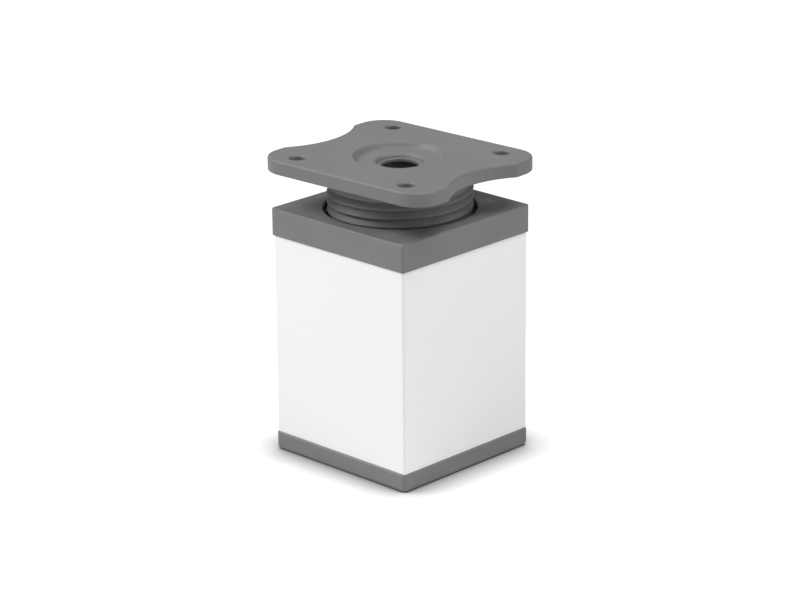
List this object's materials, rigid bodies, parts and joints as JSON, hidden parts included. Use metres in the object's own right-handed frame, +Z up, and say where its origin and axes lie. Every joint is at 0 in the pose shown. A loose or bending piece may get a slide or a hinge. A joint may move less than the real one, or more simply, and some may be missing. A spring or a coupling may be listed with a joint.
{
  "type": "adjustable cabinet leg",
  "caption": "Square furniture leg with a white tube, grey plastic foot and collar, and a waisted screw-on mounting plate whose threaded stem sets the height.",
  "frame": {"origin": "centre of the foot's underside, on the floor", "axes": "+Z up along the tube, +X and +Y square to the tube's faces"},
  "size_m": [0.0744, 0.0652, 0.1036],
  "materials": {
    "plate_plastic": "satin moulded grey",
    "cap_plastic": "satin moulded grey",
    "white_paint": "smooth white powder coat"
  },
  "bodies": {
    "leg": {"square_tube": "white_paint", "foot_cap": "cap_plastic", "threaded_collar": "cap_plastic"},
    "plate": {"mounting_plate": "plate_plastic"}
  },
  "joints": [
    {"name": "height_adjust", "type": "slide", "parent": "leg", "child": "plate", "axis": [0, 0, 1], "range_m": [-0.012, 0.008]}
  ]
}
